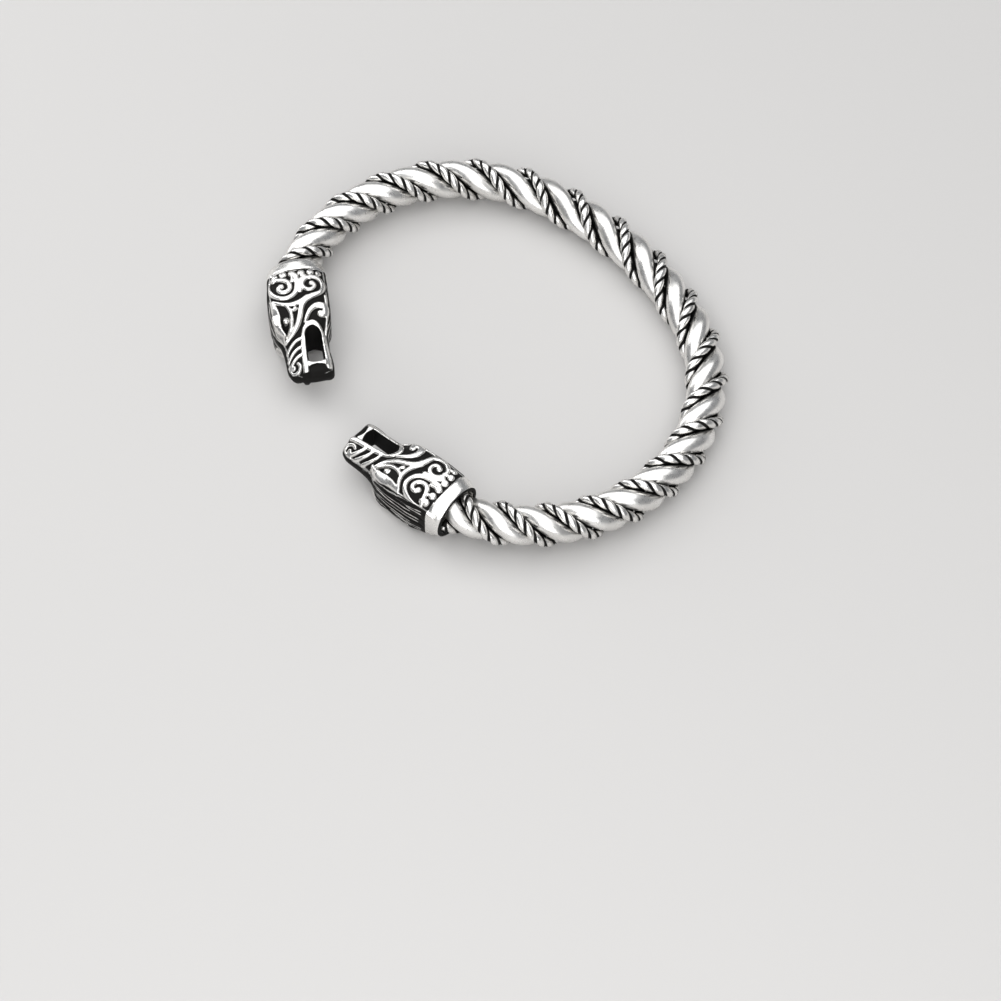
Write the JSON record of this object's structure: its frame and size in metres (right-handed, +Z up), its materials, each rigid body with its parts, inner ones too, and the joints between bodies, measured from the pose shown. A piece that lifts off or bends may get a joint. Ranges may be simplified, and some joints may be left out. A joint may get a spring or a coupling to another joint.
{
  "type": "viking arm ring",
  "caption": "Open twisted-wire arm ring with a cast beast head on each end, worn round the wrist or forearm and sprung on through the gap between the two noses.",
  "frame": {"origin": "middle of the ring's bounding box, on the surface that it lies on", "axes": "+Z up through the hollow for the wrist, +X along the ring's longest extent, the gap between the two noses facing -Y"},
  "size_m": [0.0777, 0.0637, 0.0092],
  "materials": {
    "antique_silver": "polished white metal, blackened in the recesses"
  },
  "bodies": {
    "root": {"rod_1": "antique_silver", "rod_2": "antique_silver", "rope_1": "antique_silver", "rope_2": "antique_silver", "head_left": "antique_silver", "head_right": "antique_silver"}
  },
  "joints": []
}
